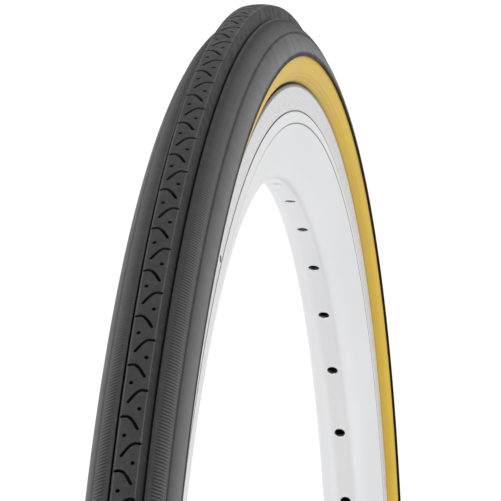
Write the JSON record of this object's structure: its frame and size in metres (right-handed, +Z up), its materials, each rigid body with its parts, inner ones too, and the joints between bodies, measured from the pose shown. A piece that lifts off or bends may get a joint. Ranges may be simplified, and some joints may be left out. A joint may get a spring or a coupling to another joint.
{
  "type": "bicycle tire",
  "caption": "Road tire with a raised siped centre band, file-ribbed shoulders and gum sidewalls, on a deep silver rim with tube, rim tape and threaded valve.",
  "frame": {"origin": "wheel centre, on the axle line in the tire's middle plane", "axes": "+Y along the axle, +Z up, valve at the bottom (-Z), +X along the rolling direction"},
  "size_m": [0.6939, 0.0338, 0.694],
  "materials": {
    "tread": "matte black tread rubber with a raised centre band and file-ribbed shoulders",
    "breaker_strip": "woven strip under the tread",
    "casing_ply": "rubberised cord fabric",
    "gum_sidewall": "mustard gum rubber, satin",
    "bead_wire": "plain steel wire bundle",
    "bead_chafer": "black rubberised fabric",
    "inner_tube": "smooth black butyl rubber",
    "rim": "silver anodised, machined brake tracks",
    "rim_tape": "dark woven tape",
    "rim_joint_pin": "ground steel pin",
    "valve_patch": "moulded rubber",
    "valve_brass": "turned brass",
    "valve_core_seal": "red rubber",
    "valve_plunger_seal": "black rubber",
    "valve_spring": "spring wire",
    "valve_nut_washer": "rubber washer",
    "valve_nut": "nickel plated",
    "valve_cap": "moulded black plastic",
    "valve_cap_seal": "red rubber disc"
  },
  "bodies": {
    "wheel": {"tread": "tread", "breaker_strip": "breaker_strip", "casing_ply_outer": "casing_ply", "casing_ply_inner": "casing_ply", "sidewall_left": "gum_sidewall", "sidewall_right": "gum_sidewall", "bead_wire_left": "bead_wire", "bead_wire_right": "bead_wire", "bead_chafer_left": "bead_chafer", "bead_chafer_right": "bead_chafer", "inner_tube": "inner_tube", "rim": "rim", "rim_tape": "rim_tape", "rim_joint_pin_left": "rim_joint_pin", "rim_joint_pin_right": "rim_joint_pin", "valve_patch": "valve_patch", "valve_stem": "valve_brass", "valve_core_body": "valve_brass", "valve_core_seal": "valve_core_seal", "valve_core_spring": "valve_spring"},
    "core_pin": {"valve_core_pin": "valve_brass", "valve_core_plunger_seal": "valve_plunger_seal"},
    "nut_washer": {"valve_nut_washer": "valve_nut_washer"},
    "nut": {"valve_nut": "valve_nut"},
    "cap_seal": {"valve_cap_seal": "valve_cap_seal"},
    "cap": {"valve_cap": "valve_cap"}
  },
  "joints": [
    {"name": "core_pin_press", "type": "slide", "parent": "wheel", "child": "core_pin", "axis": [0, 0, -1], "range_m": [0, 0.0016], "stiffness_N_per_m": 400, "deforming": ["valve_core_spring"]},
    {"name": "nut_travel", "type": "slide", "parent": "wheel", "child": "nut_washer", "axis": [0, 0, 1], "range_m": [0, 0.012]},
    {"name": "nut_turn", "type": "hinge", "parent": "nut_washer", "child": "nut", "pos_m": [0, 0, -0.276], "axis": [0, 0, 1], "range_deg": [0, 5444]},
    {"name": "cap_lift", "type": "slide", "parent": "wheel", "child": "cap_seal", "axis": [0, 0, 1], "range_m": [0, 0.024]},
    {"name": "cap_turn", "type": "hinge", "parent": "cap_seal", "child": "cap", "pos_m": [0, 0, -0.254], "axis": [0, 0, 1], "range_deg": [0, 10887]}
  ],
  "couplings": [
    {"joint": "nut_turn", "follows": "nut_travel", "rad_per_m": 7915.8},
    {"joint": "cap_turn", "follows": "cap_lift", "rad_per_m": 7915.8}
  ]
}
